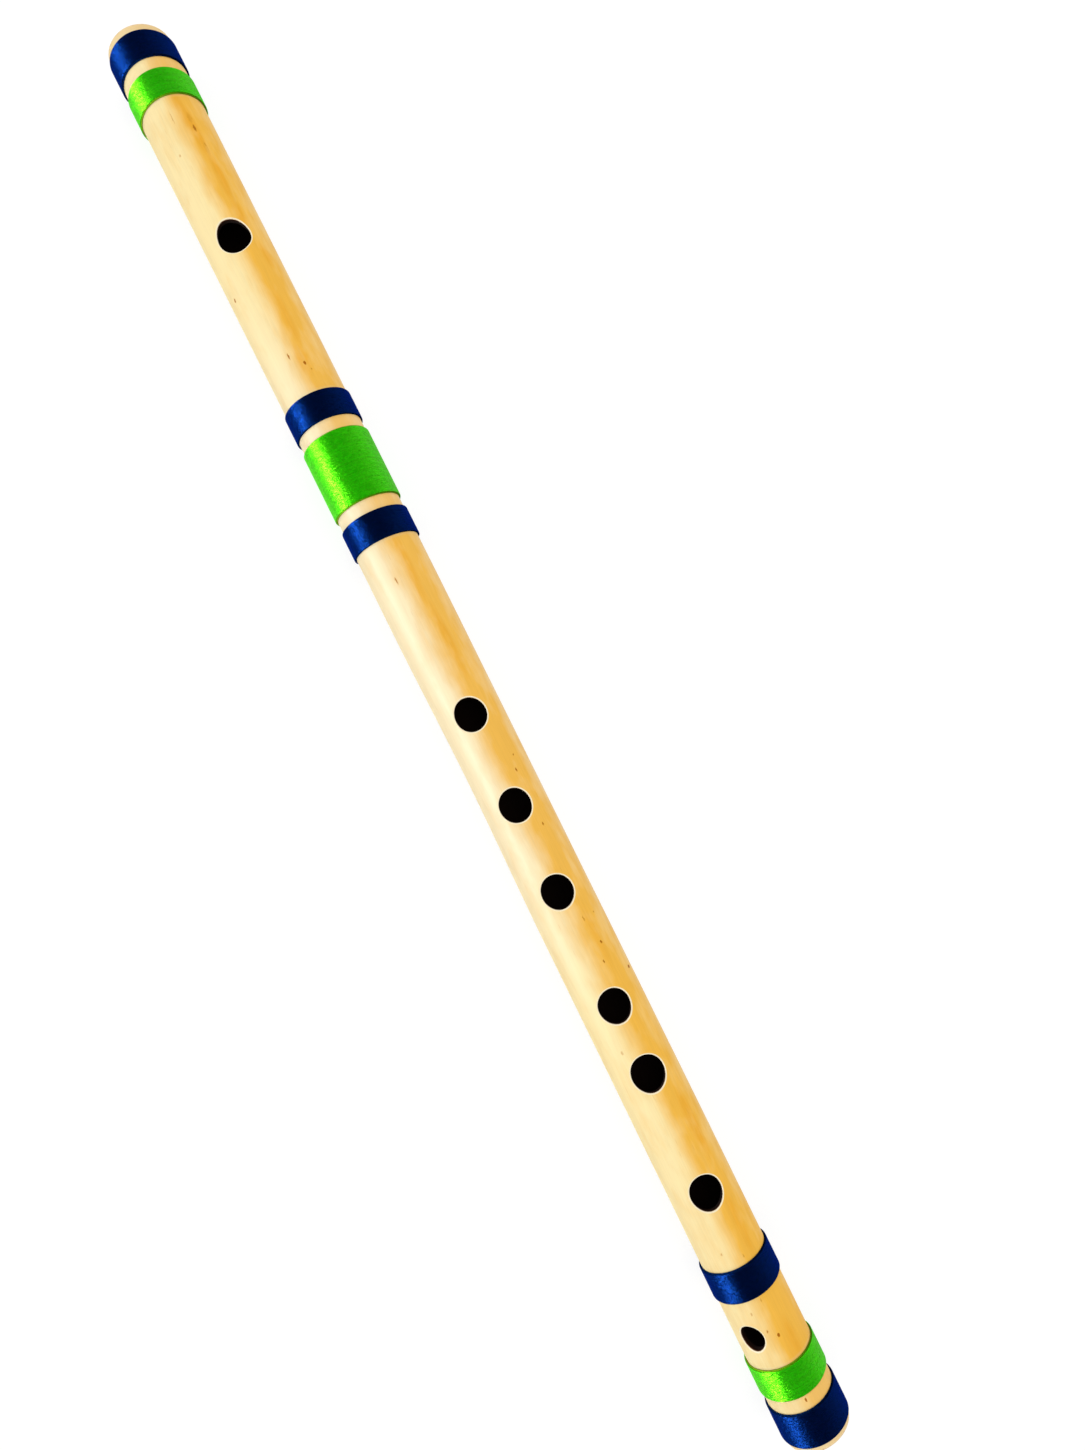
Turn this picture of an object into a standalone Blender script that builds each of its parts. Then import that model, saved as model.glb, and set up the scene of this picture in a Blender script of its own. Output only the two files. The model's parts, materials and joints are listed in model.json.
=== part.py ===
"""Bansuri: a side-blown bamboo flute, its thread bindings and the cork stopper inside it.

The flute lies along X with its head end at -X, its foot end at +X and its finger holes up.
The origin is on the surface it lies on, under the middle of its length. Sizes are in metres.
"""

import math

import bmesh
import bpy
from mathutils import Vector

# The culm: length, outside radius, wall, and how far its middle leans from the line of its ends
TUBE_LENGTH = 0.4800
TUBE_RADIUS = 0.01045
WALL = 0.0022
CULM_BOW = 0.0008
OUTER_RIM_ROUNDING = 0.0005
INNER_RIM_ROUNDING = 0.0003

# The thread bindings: each lies close round the culm and stands proud of it
BINDING_THICKNESS = 0.00045
BINDING_CLEARANCE = 0.0003
BINDING_SHOULDER = 0.0003
BINDING_GAP = 0.0036

# Widths of the bindings along the culm
HEAD_BLUE_WIDTH = 0.0103
HEAD_GREEN_WIDTH = 0.0103
MIDDLE_HEAD_SIDE_BLUE_WIDTH = 0.0100
MIDDLE_GREEN_WIDTH = 0.0242
MIDDLE_FOOT_SIDE_BLUE_WIDTH = 0.0101
LOWER_BLUE_WIDTH = 0.0103
FOOT_GREEN_WIDTH = 0.0103
FOOT_BLUE_WIDTH = 0.0109

# The steps from the head end to the blow hole
HEAD_RIM = 0.0026
HEAD_BINDINGS_TO_BLOW_HOLE = 0.0497

# The middle bindings are centred between the blow hole and the first finger hole, but for this
MIDDLE_BINDINGS_HEADWARD = 0.0019

# The steps between the first finger hole and the foot end, which set the notes
FINGER_HOLE_SPACINGS = (0.0305, 0.0287, 0.0376, 0.0220, 0.0382)
LAST_FINGER_HOLE_TO_LOWER_BINDING = 0.0225
LOWER_BINDING_TO_SIDE_HOLE = 0.0109
SIDE_HOLE_TO_FOOT_BINDINGS = 0.0093
FOOT_RIM = 0.0018

# The holes, slightly longer along the culm than across it; one finger hole is a little wider
BLOW_HOLE_LENGTH = 0.0109
BLOW_HOLE_WIDTH = 0.0100
FINGER_HOLE_LENGTH = 0.0104
FINGER_HOLE_WIDTH = 0.0096
WIDEST_FINGER_HOLE = 5
WIDEST_HOLE_LENGTH = 0.0111
WIDEST_HOLE_WIDTH = 0.0100
SIDE_HOLE_LENGTH = 0.0074
SIDE_HOLE_WIDTH = 0.0067

# How far each hole is turned round the culm from its top line, in degrees towards -Y
BLOW_HOLE_TURN = 0.5
FINGER_HOLE_TURNS = (1.0, 1.0, 1.5, -0.5, -1.5, -1.0)
SIDE_HOLE_TURN = 38.7

# The cork stopper, set a little more than a bore's width headward of the blow hole
STOPPER_LENGTH = 0.0200
STOPPER_CLEARANCE = 0.0003
STOPPER_EDGE = 0.0006
STOPPER_FACE_TO_BLOW_HOLE = 0.0172

# Fineness of the round forms
RING_SIDES = 40
HOLE_SIDES = 32
CULM_SECTIONS = 10
CORNER_STEPS = 2

# Colours, roughness and metallic value of the real materials
FINISHES = {
    "bamboo": ((0.86, 0.62, 0.29, 1.0), 0.38, 0.0),
    "blue_thread": ((0.005, 0.012, 0.16, 1.0), 0.40, 0.0),
    "green_thread": ((0.03, 0.42, 0.01, 1.0), 0.40, 0.0),
    "cork": ((0.45, 0.27, 0.14, 1.0), 0.85, 0.0),
}

# The groups of bindings, each binding as (name, thread, width) from its head side
HEAD_GROUP = (
    ("head_blue_binding", "blue_thread", HEAD_BLUE_WIDTH),
    ("head_green_binding", "green_thread", HEAD_GREEN_WIDTH),
)
MIDDLE_GROUP = (
    ("middle_head_side_blue_binding", "blue_thread", MIDDLE_HEAD_SIDE_BLUE_WIDTH),
    ("middle_green_binding", "green_thread", MIDDLE_GREEN_WIDTH),
    ("middle_foot_side_blue_binding", "blue_thread", MIDDLE_FOOT_SIDE_BLUE_WIDTH),
)
LOWER_GROUP = (("lower_blue_binding", "blue_thread", LOWER_BLUE_WIDTH),)
FOOT_GROUP = (
    ("foot_green_binding", "green_thread", FOOT_GREEN_WIDTH),
    ("foot_blue_binding", "blue_thread", FOOT_BLUE_WIDTH),
)

bore_radius = TUBE_RADIUS - WALL
binding_inner_radius = TUBE_RADIUS + BINDING_CLEARANCE
binding_outer_radius = binding_inner_radius + BINDING_THICKNESS
axis_height = binding_outer_radius


def group_width(group):
    """How much of the culm a group of bindings takes, with the bare gaps inside it."""
    return sum(width for _, _, width in group) + BINDING_GAP * (len(group) - 1)


def wind_group(start, group):
    """The bindings of a group, each as (name, thread, start, width), from its head side."""
    bindings = []
    for name, thread, width in group:
        bindings.append((name, thread, start, width))
        start += width + BINDING_GAP
    return bindings


def finger_hole_size(number):
    """Length along the culm and width across it of one finger hole."""
    if number == WIDEST_FINGER_HOLE:
        return WIDEST_HOLE_LENGTH, WIDEST_HOLE_WIDTH
    return FINGER_HOLE_LENGTH, FINGER_HOLE_WIDTH


def lay_out_culm():
    """Place all bindings and holes by their distance from the head end.

    A hole is (name, centre, length, width, turn). The blow hole is reached from the head end,
    and the side hole and finger holes from the foot end.
    """
    blow_hole = HEAD_RIM + group_width(HEAD_GROUP) + HEAD_BINDINGS_TO_BLOW_HOLE
    foot_start = TUBE_LENGTH - FOOT_RIM - group_width(FOOT_GROUP)
    side_hole = foot_start - SIDE_HOLE_TO_FOOT_BINDINGS
    lower_start = side_hole - LOWER_BINDING_TO_SIDE_HOLE - group_width(LOWER_GROUP)
    last_finger_hole = lower_start - LAST_FINGER_HOLE_TO_LOWER_BINDING
    finger_hole = last_finger_hole - sum(FINGER_HOLE_SPACINGS)
    middle_centre = (blow_hole + finger_hole) / 2 - MIDDLE_BINDINGS_HEADWARD
    middle_start = middle_centre - group_width(MIDDLE_GROUP) / 2

    bindings = wind_group(HEAD_RIM, HEAD_GROUP)
    bindings += wind_group(middle_start, MIDDLE_GROUP)
    bindings += wind_group(lower_start, LOWER_GROUP)
    bindings += wind_group(foot_start, FOOT_GROUP)

    holes = [("blow_hole", blow_hole, BLOW_HOLE_LENGTH, BLOW_HOLE_WIDTH, BLOW_HOLE_TURN)]
    for index, turn in enumerate(FINGER_HOLE_TURNS):
        number = index + 1
        holes.append((f"finger_hole_{number}", finger_hole, *finger_hole_size(number), turn))
        finger_hole += sum(FINGER_HOLE_SPACINGS[index:number])
    holes.append(("side_hole", side_hole, SIDE_HOLE_LENGTH, SIDE_HOLE_WIDTH, SIDE_HOLE_TURN))
    return bindings, holes


culm_bindings, culm_holes = lay_out_culm()


def along(distance_from_head):
    """World X of a point at this distance from the head end."""
    return distance_from_head - TUBE_LENGTH / 2


def culm_lean(x):
    """Sideways place (world Y) of the culm's centre line at world X."""
    share = 2 * x / TUBE_LENGTH
    return CULM_BOW * (0.5 - share * share)


def across_flats(radius):
    """Corner radius of a RING_SIDES-sided ring whose flats lie at this radius."""
    return radius / math.cos(math.pi / RING_SIDES)


def clear_scene():
    for item in list(bpy.data.objects):
        bpy.data.objects.remove(item, do_unlink=True)


def make_collection(name):
    collection = bpy.data.collections.new(name)
    bpy.context.scene.collection.children.link(collection)
    return collection


def move_to(part, collection):
    """Take a part out of the collections it is in, and into this one."""
    for old_collection in list(part.users_collection):
        old_collection.objects.unlink(part)
    collection.objects.link(part)


def make_finish(name):
    """A plain Principled material of one finish."""
    colour, roughness, metallic = FINISHES[name]
    material = bpy.data.materials.new(name)
    material.use_nodes = True
    surface = material.node_tree.nodes["Principled BSDF"]
    surface.inputs["Base Color"].default_value = colour
    surface.inputs["Roughness"].default_value = roughness
    surface.inputs["Metallic"].default_value = metallic
    material.diffuse_color = colour
    return material


def rounded_outline(corners):
    """Points of a closed outline of square corners, each (radius, along, rounding)."""
    points = []
    for index, (radius, height, rounding) in enumerate(corners):
        corner = Vector((radius, height))
        if rounding == 0.0:
            points.append(corner)
            continue
        before = (Vector(corners[index - 1][:2]) - corner).normalized()
        after = (Vector(corners[(index + 1) % len(corners)][:2]) - corner).normalized()
        centre = corner + (before + after) * rounding
        for step in range(CORNER_STEPS + 1):
            swing = math.pi / 2 * step / CORNER_STEPS
            points.append(centre - rounding * (after * math.cos(swing) + before * math.sin(swing)))
    return points


def lay_along_flute(part, x):
    """Turn a part's own Z to the flute's X, with a flat of its sides facing down."""
    part.rotation_mode = "ZYX"
    part.rotation_euler = (0.0, math.pi / 2, math.pi / RING_SIDES)
    part.location = (x, 0.0, 0.0)
    part.parent = flute_axis


def turned_ring(name, x, corners):
    """A ring turned from an outline, which runs down its outer side and up its bore."""
    outline = bpy.data.meshes.new(name)
    points = [(across_flats(p.x), 0.0, p.y) for p in rounded_outline(corners)]
    edges = [(index, (index + 1) % len(points)) for index in range(len(points))]
    outline.from_pydata(points, edges, [])
    ring = bpy.data.objects.new(name, outline)
    parts.objects.link(ring)
    screw = ring.modifiers.new("turn", "SCREW")
    screw.axis = "Z"
    screw.angle = 2 * math.pi
    screw.steps = RING_SIDES
    screw.render_steps = RING_SIDES
    screw.merge_threshold = 0.00001
    lay_along_flute(ring, x)
    return ring


def drill(tube, hole):
    """Cut one oval hole through the culm's wall, from the bore's centre line outwards."""
    name, from_head, length, width, turn = hole
    bpy.ops.mesh.primitive_cylinder_add(
        vertices=HOLE_SIDES, radius=length / 2, depth=2 * TUBE_RADIUS
    )
    cutter = bpy.context.object
    cutter.name = f"{name}_cutter"
    cutter.scale.y = width / length
    bpy.ops.object.transform_apply(location=False, rotation=False, scale=True)
    angle = math.radians(turn)
    outwards = Vector((0.0, -math.sin(angle), math.cos(angle)))
    cutter.location = Vector((along(from_head), 0.0, axis_height)) + TUBE_RADIUS * outwards
    cutter.rotation_euler = (angle, 0.0, 0.0)
    cutter.display_type = "WIRE"
    cutter.hide_render = True
    move_to(cutter, cutters)
    cut = tube.modifiers.new(name, "BOOLEAN")
    cut.operation = "DIFFERENCE"
    cut.solver = "EXACT"
    cut.object = cutter


def follow_culm(part):
    """Settle a part's modifiers, then lean its mesh sideways with the culm's natural bow."""
    bpy.context.view_layer.update()
    settled = part.evaluated_get(bpy.context.evaluated_depsgraph_get())
    shape = bpy.data.meshes.new_from_object(settled)
    part.modifiers.clear()
    mesh = bmesh.new()
    mesh.from_mesh(shape)
    bmesh.ops.triangulate(mesh, faces=mesh.faces)
    to_world = part.matrix_world
    to_part = to_world.inverted()
    for vertex in mesh.verts:
        place = to_world @ vertex.co
        place.y += culm_lean(place.x)
        vertex.co = to_part @ place
    mesh.to_mesh(shape)
    mesh.free()
    shape.name = part.name
    part.data = shape


def finish(part, material):
    """Give a part its material, with round surfaces smooth and edges sharp."""
    part.data.materials.clear()
    part.data.materials.append(finishes[material])
    part.data.shade_smooth()
    part.data.set_sharp_from_angle(angle=math.radians(35))


def build_bamboo_tube():
    """The culm: a turned tube with rounded rims, sections to bend along, and drilled holes."""
    half = TUBE_LENGTH / 2
    inner_sections = [
        half - TUBE_LENGTH * step / CULM_SECTIONS for step in range(1, CULM_SECTIONS)
    ]
    corners = [(TUBE_RADIUS, half, OUTER_RIM_ROUNDING)]
    corners += [(TUBE_RADIUS, height, 0.0) for height in inner_sections]
    corners += [(TUBE_RADIUS, -half, OUTER_RIM_ROUNDING)]
    corners += [(bore_radius, -half, INNER_RIM_ROUNDING)]
    corners += [(bore_radius, height, 0.0) for height in reversed(inner_sections)]
    corners += [(bore_radius, half, INNER_RIM_ROUNDING)]
    tube = turned_ring("bamboo_tube", 0.0, corners)
    for hole in culm_holes:
        drill(tube, hole)
    follow_culm(tube)
    finish(tube, "bamboo")


def build_binding(name, thread, from_head, width):
    """One thread binding: a sleeve with rounded shoulders, close round the culm."""
    corners = [
        (binding_outer_radius, width / 2, BINDING_SHOULDER),
        (binding_outer_radius, -width / 2, BINDING_SHOULDER),
        (binding_inner_radius, -width / 2, 0.0),
        (binding_inner_radius, width / 2, 0.0),
    ]
    binding = turned_ring(name, along(from_head + width / 2), corners)
    follow_culm(binding)
    finish(binding, thread)


def build_cork_stopper():
    """The cork that closes the bore headward of the blow hole, with softened edges."""
    blow_hole_centre = culm_holes[0][1]
    centre = blow_hole_centre - STOPPER_FACE_TO_BLOW_HOLE - STOPPER_LENGTH / 2
    radius = across_flats(bore_radius - STOPPER_CLEARANCE)
    bpy.ops.mesh.primitive_cylinder_add(vertices=RING_SIDES, radius=radius, depth=STOPPER_LENGTH)
    stopper = bpy.context.object
    stopper.name = "cork_stopper"
    move_to(stopper, parts)
    softened = stopper.modifiers.new("softened edges", "BEVEL")
    softened.width = STOPPER_EDGE
    softened.segments = CORNER_STEPS
    softened.limit_method = "ANGLE"
    softened.angle_limit = math.radians(60)
    lay_along_flute(stopper, along(centre))
    follow_culm(stopper)
    finish(stopper, "cork")


clear_scene()
parts = make_collection("bansuri")
cutters = make_collection("bansuri cutters")
finishes = {name: make_finish(name) for name in FINISHES}

flute_axis = bpy.data.objects.new("flute_axis", None)
flute_axis.location = (0.0, 0.0, axis_height)
flute_axis.empty_display_size = TUBE_RADIUS
parts.objects.link(flute_axis)

build_bamboo_tube()
for culm_binding in culm_bindings:
    build_binding(*culm_binding)
build_cork_stopper()
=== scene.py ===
"""Bansuri: the looks of a side-blown bamboo flute, its thread windings and its cork stopper.

The flute lies along X with its head end at -X, its foot end at +X and its finger holes up.
Sizes are in metres, and a turn round the culm is counted from its top line towards -Y.
"""

import json
import math

import bmesh
import bpy
from mathutils import Euler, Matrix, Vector


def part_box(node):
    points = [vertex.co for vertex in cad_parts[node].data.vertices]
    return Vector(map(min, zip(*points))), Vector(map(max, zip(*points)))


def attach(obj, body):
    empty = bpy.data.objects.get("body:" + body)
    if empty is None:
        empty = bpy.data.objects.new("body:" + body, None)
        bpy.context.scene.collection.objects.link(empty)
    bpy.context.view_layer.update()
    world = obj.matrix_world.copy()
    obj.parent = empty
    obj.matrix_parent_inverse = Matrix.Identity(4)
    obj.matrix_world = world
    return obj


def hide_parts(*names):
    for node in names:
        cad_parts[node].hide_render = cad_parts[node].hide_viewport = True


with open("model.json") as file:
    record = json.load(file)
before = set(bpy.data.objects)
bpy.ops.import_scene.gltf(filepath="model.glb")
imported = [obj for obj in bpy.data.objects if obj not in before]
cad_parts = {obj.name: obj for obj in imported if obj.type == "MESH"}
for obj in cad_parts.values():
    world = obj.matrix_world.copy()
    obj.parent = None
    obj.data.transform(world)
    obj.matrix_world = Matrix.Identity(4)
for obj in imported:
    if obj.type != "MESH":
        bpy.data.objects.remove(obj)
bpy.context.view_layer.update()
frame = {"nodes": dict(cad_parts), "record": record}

# The culm is one length of thin bamboo, sawn at both ends and sanded. It bends a little to the
# side, as it grew, and has a shallow hollow beside its first finger holes. The holes are burnt
# through the wall, and the skin is sanded round their edges before the flute is varnished.

culm_low, culm_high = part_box("bamboo_tube")
CULM_RADIUS = (culm_high.z - culm_low.z) / 2
CULM_AXIS = (culm_high.z + culm_low.z) / 2
CULM_BOW = (culm_high.y - culm_low.y) - 2 * CULM_RADIUS
CULM_UNEVENNESS = 0.00010
HOLLOW_DEPTH = 0.0006
HOLLOW_PLACE = 0.022
HOLLOW_REACH = 0.055
SWELLS_A_METRE = 14.0
WALL = 0.0022
OUTER_RIM_ROUNDING = 0.0010
INNER_RIM_ROUNDING = 0.0003
COLUMNS = 120
ROW_STEP = 0.003
RIM_STEPS = 6
SANDED_EDGE = 0.0005
SANDED_DEPTH = 0.00035
INNER_EDGE = 0.00025
EDGE_STEPS = 5
WALL_STEPS = 3
SKIN_STEPS = 5
EDGE_CROWDING = 1.6

# Each hole's length along the culm, its width across it, its turn in degrees, how three-cornered
# its edge is, and the patch of culm round it: half its length, and half its width in columns
HOLES = {
    "blow_hole": (0.0112, 0.0103, 0.5, 0.016, 0.0072, 16),
    "finger_hole_1": (0.0107, 0.0099, 1.0, 0.004, 0.0072, 16),
    "finger_hole_2": (0.0107, 0.0099, 1.0, -0.005, 0.0072, 16),
    "finger_hole_3": (0.0107, 0.0099, 1.5, 0.006, 0.0072, 16),
    "finger_hole_4": (0.0107, 0.0099, -0.5, -0.004, 0.0072, 16),
    "finger_hole_5": (0.0113, 0.0103, -1.5, 0.006, 0.0072, 16),
    "finger_hole_6": (0.0106, 0.0098, -1.0, 0.005, 0.0072, 16),
    "side_hole": (0.0078, 0.0071, 38.7, 0.008, 0.0054, 12),
}
PATCH_ROWS = 18
SIDE_HOLE_BELOW_BINDING = 0.0109

# Marks on the skin: distance from the head end, turn in degrees, length, width, darkness
SKIN_MARKS = (
    (0.0389, -24, 0.0030, 0.0010, 0.60),
    (0.0352, -24, 0.0050, 0.0018, 0.24),
    (0.0449, -28, 0.0020, 0.0006, 0.35),
    (0.0462, -27, 0.0070, 0.0018, 0.20),
    (0.0340, 4, 0.0060, 0.0004, 0.35),
    (0.0458, 21, 0.0014, 0.0009, 0.3),
    (0.0934, 55, 0.0017, 0.0010, 0.6),
    (0.1192, 8, 0.0026, 0.0006, 0.6),
    (0.1229, -12, 0.0014, 0.0009, 0.9),
    (0.1254, -18, 0.0010, 0.0005, 0.4),
    (0.1968, 13, 0.0030, 0.0006, 0.5),
    (0.2598, -36, 0.0010, 0.0006, 0.5),
    (0.2643, -28, 0.0015, 0.0006, 0.7),
    (0.2825, -28, 0.0014, 0.0006, 0.6),
    (0.3131, -18, 0.0022, 0.0006, 0.4),
    (0.3130, -42, 0.0010, 0.0008, 0.4),
    (0.3217, -28, 0.0012, 0.0007, 0.8),
    (0.3271, -17, 0.0013, 0.0006, 0.7),
    (0.3330, -64, 0.0012, 0.0014, 0.8),
    (0.3535, 23, 0.0016, 0.0009, 0.3),
    (0.4180, 21, 0.0012, 0.0006, 0.35),
    (0.4210, -10, 0.0012, 0.0006, 0.35),
    (0.4368, 20, 0.0012, 0.0006, 0.35),
    (0.4344, -4, 0.0014, 0.0006, 0.35),
    (0.4430, 9, 0.0012, 0.0007, 0.5),
    (0.4454, -5, 0.0013, 0.0009, 0.8),
    (0.4649, 1, 0.0014, 0.0008, 0.7),
)

# Soft toasted smudges on the golden side: from the head end, turn, length, width, strength
SMUDGES = (
    (0.0330, -17, 0.020, 0.0045, 0.5),
    (0.0400, -23, 0.024, 0.0040, 0.7),
    (0.0560, -27, 0.026, 0.0040, 0.6),
    (0.0700, -28, 0.016, 0.0040, 0.5),
    (0.0850, -40, 0.012, 0.0045, 0.4),
    (0.1070, -20, 0.026, 0.0040, 0.4),
    (0.1220, -12, 0.014, 0.0050, 0.5),
    (0.1930, -17, 0.040, 0.0040, 0.4),
    (0.2200, -22, 0.036, 0.0040, 0.5),
    (0.3190, -26, 0.030, 0.0040, 0.3),
    (0.3810, -34, 0.028, 0.0050, 0.6),
    (0.4120, -28, 0.030, 0.0050, 0.5),
    (0.4510, -22, 0.024, 0.0070, 0.5),
)
MARK_GROWTH = 1.3
MARK_WOBBLE = 0.0007

# Patterns of the skin: fineness, stretch along the culm and seed; and how far some of them
# shift the golden tone
SKIN_PATTERNS = {
    "bands": (330.0, 14.0, 2.0),
    "fibres": (2600.0, 25.0, 0.0),
    "clouds": (220.0, 2.6, 0.0),
    "puffs": (500.0, 3.0, 8.0),
}
GOLD_WEIGHTS = {"bands": 0.06, "clouds": 0.24, "puffs": 0.13}

# Specks in the bamboo: fineness, stretch, the share of places that have one, and their size
STRANDS = (1900.0, 9.0, 0.35, 0.32)
FLECKS = (110.0, 3.0, 0.10, 0.09)
FIBRE_BUNDLES = (2300.0, 40.0, 0.75, 0.45)

# Where the skin turns golden across the culm and pales again, from its pale side at -1 to its
# far side at 1; where it is more golden near the foot, and palest round the middle, along X.
# The gold across the culm is partly the bamboo's own tone and partly painted shade away from the
# softboxes, the paling at the far side is a painted reflection of the floor, and the palest
# middle is partly painted sheen where the gloss falls.
GOLD_AND_SHADE_ACROSS = (-0.42, 0.40)
FAR_SIDE_PAINTED_REFLECTION = (0.60, 1.0, 0.0, 0.28)
GOLDEN_FOOT = (0.150, 0.215)
GOLDEN_FOOT_ACROSS = (-0.9, -0.1, 0.35, 1.0)
FOOT_GOLD = 0.28
PALE_SHEEN_MIDDLE = -0.022
PALE_SHEEN_REACH = (0.135, 0.060)

# Depths in the wall between which the rind fades in and out, and the burnt wood browns,
# blackens and turns matt; the blackening deep in the hole walls and bore is partly painted shade
RIND_STARTS = (0.0001, 0.0003)
RIND_ENDS = (0.0009, 0.0005)
BROWNS = (0.00031, 0.00042)
BLACKENS_WITH_SHADE = (0.00046, 0.0009)
TURNS_MATT = (0.0004, 0.0012)

# The pale band at a cut end, the fade of rubbed skin, and the skin's gloss and relief
END_CUT = 0.0028
END_CUT_FADE = 0.0012
RUBBED_FADE = 0.0008
SKIN_GLOSS = 0.07
VARNISH = 0.06
VARNISH_ROUGHNESS = 0.3
SKIN_RELIEF = 0.00003

# Stretches of skin rubbed paler before the thread was wound, by their first and last bindings
BOUND_STRETCHES = (
    ("head_blue_binding", "head_green_binding"),
    ("middle_head_side_blue_binding", "middle_foot_side_blue_binding"),
    ("foot_green_binding", "foot_blue_binding"),
)

# Colours of the bamboo: its pale, golden and toasted skin, sanded and scorched wood, fine marks.
# The golden skin also serves as painted shade on the side away from the softboxes.
PALE_SKIN = (0.97, 0.785, 0.395, 1.0)
# The palest skin is partly painted sheen, laid round the middle where the gloss falls.
PALEST_SKIN_AND_SHEEN = (0.96, 0.815, 0.55, 1.0)
GOLDEN_SKIN_AND_SHADE = (0.93, 0.505, 0.066, 1.0)
TOASTED_SKIN = (0.88, 0.40, 0.022, 1.0)
SANDED_WOOD = (0.97, 0.84, 0.58, 1.0)
END_WOOD = (0.88, 0.66, 0.35, 1.0)
END_RIND = (0.55, 0.29, 0.10, 1.0)
SCORCHED_EDGE = (0.14, 0.035, 0.010, 1.0)
# The scorched wood is near black partly as painted shade inside the bore and holes.
SCORCHED_WOOD_AND_SHADE = (0.014, 0.006, 0.004, 1.0)
MARK_BROWN = (0.40, 0.12, 0.002, 1.0)

# The socket by which shaping trees take and give a piece's form
GEOMETRY = {"Geometry": "Geometry"}


def feed(tree, node, inputs):
    """Give a node its inputs, by order or by name: numbers, colours or outputs of others."""
    pairs = inputs.items() if isinstance(inputs, dict) else enumerate(inputs)
    for key, value in pairs:
        if isinstance(value, bpy.types.NodeSocket):
            tree.links.new(value, node.inputs[key])
        elif value is not None:
            node.inputs[key].default_value = value


def add(tree, kind, inputs=(), **settings):
    """Add a node to a tree, with these settings and inputs."""
    node = tree.nodes.new(kind)
    for name, value in settings.items():
        setattr(node, name, value)
    feed(tree, node, inputs)
    return node


def out(tree, kind, inputs=(), **settings):
    """What a new node puts out first."""
    return add(tree, kind, inputs, **settings).outputs[0]


def calc(tree, operation, *values):
    """The result of one Math node."""
    return out(tree, "ShaderNodeMath", values, operation=operation)


def times(tree, first, second):
    """A value times another."""
    return calc(tree, "MULTIPLY", first, second)


def minus(tree, first, second):
    """A value less another."""
    return calc(tree, "SUBTRACT", first, second)


def vector_calc(tree, operation, *vectors):
    """The vector that one Vector Math node puts out."""
    return out(tree, "ShaderNodeVectorMath", vectors, operation=operation)


def length_of(tree, vector):
    """A vector's length."""
    return add(tree, "ShaderNodeVectorMath", (vector,), operation="LENGTH").outputs["Value"]


def scaled(tree, vector, scale):
    """A vector times a number."""
    inputs = {"Vector": vector, "Scale": scale}
    return out(tree, "ShaderNodeVectorMath", inputs, operation="SCALE")


def join_xyz(tree, x, y, z):
    """A vector from its three parts."""
    return out(tree, "ShaderNodeCombineXYZ", (x, y, z))


def split_xyz(tree, vector):
    """A vector's three parts."""
    return add(tree, "ShaderNodeSeparateXYZ", (vector,)).outputs


def noise(tree, vector, seed, scale, detail):
    """Uneven noise that a seed shifts: its value first, and its Color."""
    inputs = {"Vector": vector, "W": seed, "Scale": scale, "Detail": detail}
    return add(tree, "ShaderNodeTexNoise", inputs, noise_dimensions="4D").outputs


def rise(tree, value, start, end, low=0.0, high=1.0):
    """A smooth step of a value, from low at start to high at end."""
    inputs = {"Value": value, "From Min": start, "From Max": end, "To Min": low, "To Max": high}
    kind = "ShaderNodeMapRange"
    return add(tree, kind, inputs, interpolation_type="SMOOTHSTEP").outputs["Result"]


def new_tree(name, kind, inputs, outputs):
    """A node group with these sockets, the values that it is given, and its node for results.

    Each socket's name goes with its default number, or else with the name of its type.
    """
    tree = bpy.data.node_groups.new(name, kind)
    for side, sockets in (("INPUT", inputs), ("OUTPUT", outputs)):
        for socket_name, default in sockets.items():
            named = isinstance(default, str)
            socket_type = default if named else type(default).__name__.title()
            socket = tree.interface.new_socket(
                name=socket_name, in_out=side, socket_type=f"NodeSocket{socket_type}"
            )
            if not named:
                socket.default_value = default
    given = tree.nodes.new("NodeGroupInput")
    return tree, given.outputs, tree.nodes.new("NodeGroupOutput")


def finish_tree(tree, value, result, geometry):
    """End a shaping tree: smooth, plain geometry with the material that it was given."""
    smooth = out(tree, "GeometryNodeSetShadeSmooth", (geometry,))
    plain = out(tree, "GeometryNodeRealizeInstances", (smooth,))
    inputs = {"Geometry": plain, "Material": value["Material"]}
    finished = out(tree, "GeometryNodeSetMaterial", inputs)
    feed(tree, result, {"Geometry": finished})
    tree.is_modifier = True
    return tree


def even_steps(start, end, step):
    """Places from just after start to end, no further apart than step."""
    count = max(1, math.ceil((end - start) / step - 1e-6))
    return [start + (end - start) * number / count for number in range(1, count + 1)]


def hole_places():
    """Each hole's X: a stated opening's middle, or for the side hole a step below a binding."""
    places = {}
    for opening in frame["record"]["physics"]["openings"]:
        if opening["name"] in HOLES:
            low, high = opening["box_m"]
            places[opening["name"]] = (low[0] + high[0]) / 2
    places["side_hole"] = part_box("lower_blue_binding")[1].x + SIDE_HOLE_BELOW_BINDING
    return places


def hole_edge(name, angle, grow):
    """(along, across) of a hole's edge at an angle round it, moved outwards by grow."""
    length, width, _, corners, _, _ = HOLES[name]
    swell = 1 + corners * math.sin(3 * angle) + 0.4 * corners * math.sin(5 * angle + 1)
    half_length = length / 2 * swell
    half_width = width / 2 * swell
    outwards = Vector((half_width * math.cos(angle), half_length * math.sin(angle))).normalized()
    edge = Vector((half_length * math.cos(angle), half_width * math.sin(angle)))
    return edge + outwards * grow


def quarter_round(steps):
    """Angles of a quarter circle in even steps, both ends included."""
    return [math.pi / 2 * step / steps for step in range(steps + 1)]


def outer_rounding(width, height, steps):
    """(inset, depth) of each step of the rounding where a cut meets the skin, going inwards."""
    swings = quarter_round(steps)
    return [(width * (1 - math.sin(swing)), height * (1 - math.cos(swing))) for swing in swings]


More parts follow.
